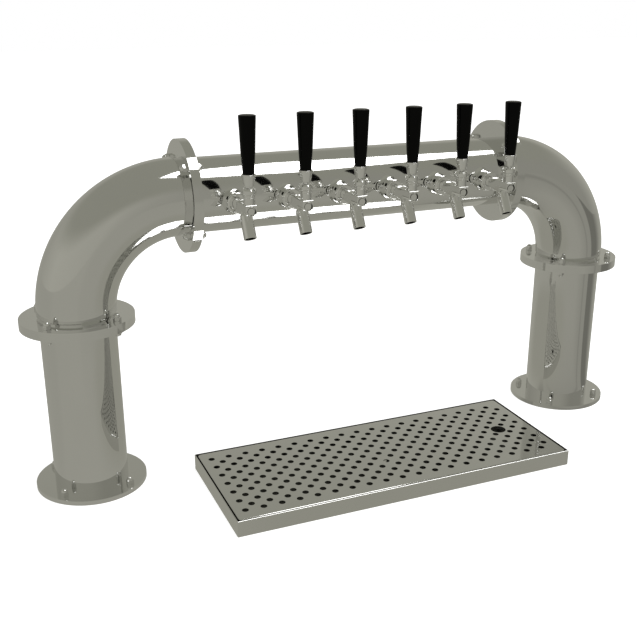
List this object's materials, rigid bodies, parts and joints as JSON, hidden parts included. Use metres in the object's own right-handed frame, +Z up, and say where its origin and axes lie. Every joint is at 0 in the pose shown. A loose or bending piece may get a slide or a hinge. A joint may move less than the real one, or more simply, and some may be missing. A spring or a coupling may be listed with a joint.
{
  "type": "beer tower dispenser",
  "caption": "Flanged pipe bridge beer tower of polished steel with black-handled taps along its beam and a perforated drip tray that stands beneath the spouts.",
  "frame": {"origin": "on the bar top, midway between the centres of the two base flanges", "axes": "+X along the beam, +Y to the back, away from the taps, +Z up"},
  "size_m": [1.4238, 0.4595, 0.7736],
  "materials": {
    "polished_steel": "mirror polish",
    "tray_steel": "polished sheet",
    "chromed_brass": "chrome plate",
    "valve_steel": "turned",
    "line_steel": "drawn tube",
    "cooling_copper": "drawn tube",
    "cast_cooling": "milled",
    "foam": "foam",
    "black_handle": "gloss"
  },
  "bodies": {
    "root": {"base_flange_left": "polished_steel", "base_flange_right": "polished_steel", "column_left": "polished_steel", "column_right": "polished_steel", "column_flange_left": "polished_steel", "column_flange_right": "polished_steel", "elbow_lower_flange_left": "polished_steel", "elbow_lower_flange_right": "polished_steel", "elbow_left": "polished_steel", "elbow_right": "polished_steel", "elbow_upper_flange_left": "polished_steel", "elbow_upper_flange_right": "polished_steel", "beam_flange_left": "polished_steel", "beam_flange_right": "polished_steel", "beam": "polished_steel", "faucet_body_1": "chromed_brass", "faucet_body_2": "chromed_brass", "faucet_body_3": "chromed_brass", "faucet_body_4": "chromed_brass", "faucet_body_5": "chromed_brass", "faucet_body_6": "chromed_brass", "bonnet_nuts": "chromed_brass", "coupling_nuts": "chromed_brass", "shanks": "chromed_brass", "shank_collars": "chromed_brass", "shank_lock_nuts": "chromed_brass", "cold_block": "cast_cooling", "beer_lines": "line_steel", "cooling_line": "cooling_copper", "column_insulation": "foam", "beam_insulation": "foam", "joint_studs": "polished_steel", "acorn_nuts": "polished_steel", "tray_pan": "tray_steel"},
    "tray_insert": {"tray_insert": "tray_steel"},
    "tap_1": {"lever_1": "chromed_brass", "ferrule_1": "chromed_brass", "tap_handle_1": "black_handle"},
    "tap_2": {"lever_2": "chromed_brass", "ferrule_2": "chromed_brass", "tap_handle_2": "black_handle"},
    "tap_3": {"lever_3": "chromed_brass", "ferrule_3": "chromed_brass", "tap_handle_3": "black_handle"},
    "tap_4": {"lever_4": "chromed_brass", "ferrule_4": "chromed_brass", "tap_handle_4": "black_handle"},
    "tap_5": {"lever_5": "chromed_brass", "ferrule_5": "chromed_brass", "tap_handle_5": "black_handle"},
    "tap_6": {"lever_6": "chromed_brass", "ferrule_6": "chromed_brass", "tap_handle_6": "black_handle"},
    "valve_1": {"valve_shaft_1": "valve_steel"},
    "valve_2": {"valve_shaft_2": "valve_steel"},
    "valve_3": {"valve_shaft_3": "valve_steel"},
    "valve_4": {"valve_shaft_4": "valve_steel"},
    "valve_5": {"valve_shaft_5": "valve_steel"},
    "valve_6": {"valve_shaft_6": "valve_steel"}
  },
  "joints": [
    {"name": "tap_tilt_1", "type": "hinge", "parent": "root", "child": "tap_1", "pos_m": [-0.287, -0.1815, 0.625], "axis": [1, 0, 0], "range_deg": [0, 22]},
    {"name": "tap_tilt_2", "type": "hinge", "parent": "root", "child": "tap_2", "pos_m": [-0.1722, -0.1815, 0.625], "axis": [1, 0, 0], "range_deg": [0, 22]},
    {"name": "tap_tilt_3", "type": "hinge", "parent": "root", "child": "tap_3", "pos_m": [-0.0574, -0.1815, 0.625], "axis": [1, 0, 0], "range_deg": [0, 22]},
    {"name": "tap_tilt_4", "type": "hinge", "parent": "root", "child": "tap_4", "pos_m": [0.0574, -0.1815, 0.625], "axis": [1, 0, 0], "range_deg": [0, 22]},
    {"name": "tap_tilt_5", "type": "hinge", "parent": "root", "child": "tap_5", "pos_m": [0.1722, -0.1815, 0.625], "axis": [1, 0, 0], "range_deg": [0, 22]},
    {"name": "tap_tilt_6", "type": "hinge", "parent": "root", "child": "tap_6", "pos_m": [0.287, -0.1815, 0.625], "axis": [1, 0, 0], "range_deg": [0, 22]},
    {"name": "valve_slide_1", "type": "slide", "parent": "root", "child": "valve_1", "axis": [0, 1, 0], "range_m": [0, 0.0103]},
    {"name": "valve_slide_2", "type": "slide", "parent": "root", "child": "valve_2", "axis": [0, 1, 0], "range_m": [0, 0.0103]},
    {"name": "valve_slide_3", "type": "slide", "parent": "root", "child": "valve_3", "axis": [0, 1, 0], "range_m": [0, 0.0103]},
    {"name": "valve_slide_4", "type": "slide", "parent": "root", "child": "valve_4", "axis": [0, 1, 0], "range_m": [0, 0.0103]},
    {"name": "valve_slide_5", "type": "slide", "parent": "root", "child": "valve_5", "axis": [0, 1, 0], "range_m": [0, 0.0103]},
    {"name": "valve_slide_6", "type": "slide", "parent": "root", "child": "valve_6", "axis": [0, 1, 0], "range_m": [0, 0.0103]},
    {"name": "insert_lift", "type": "slide", "parent": "root", "child": "tray_insert", "axis": [0, 0, 1], "range_m": [0, 0.06]}
  ],
  "couplings": [
    {"joint": "valve_slide_1", "follows": "tap_tilt_1", "m_per_rad": 0.02644},
    {"joint": "valve_slide_2", "follows": "tap_tilt_2", "m_per_rad": 0.02644},
    {"joint": "valve_slide_3", "follows": "tap_tilt_3", "m_per_rad": 0.02644},
    {"joint": "valve_slide_4", "follows": "tap_tilt_4", "m_per_rad": 0.02644},
    {"joint": "valve_slide_5", "follows": "tap_tilt_5", "m_per_rad": 0.02644},
    {"joint": "valve_slide_6", "follows": "tap_tilt_6", "m_per_rad": 0.02644}
  ]
}
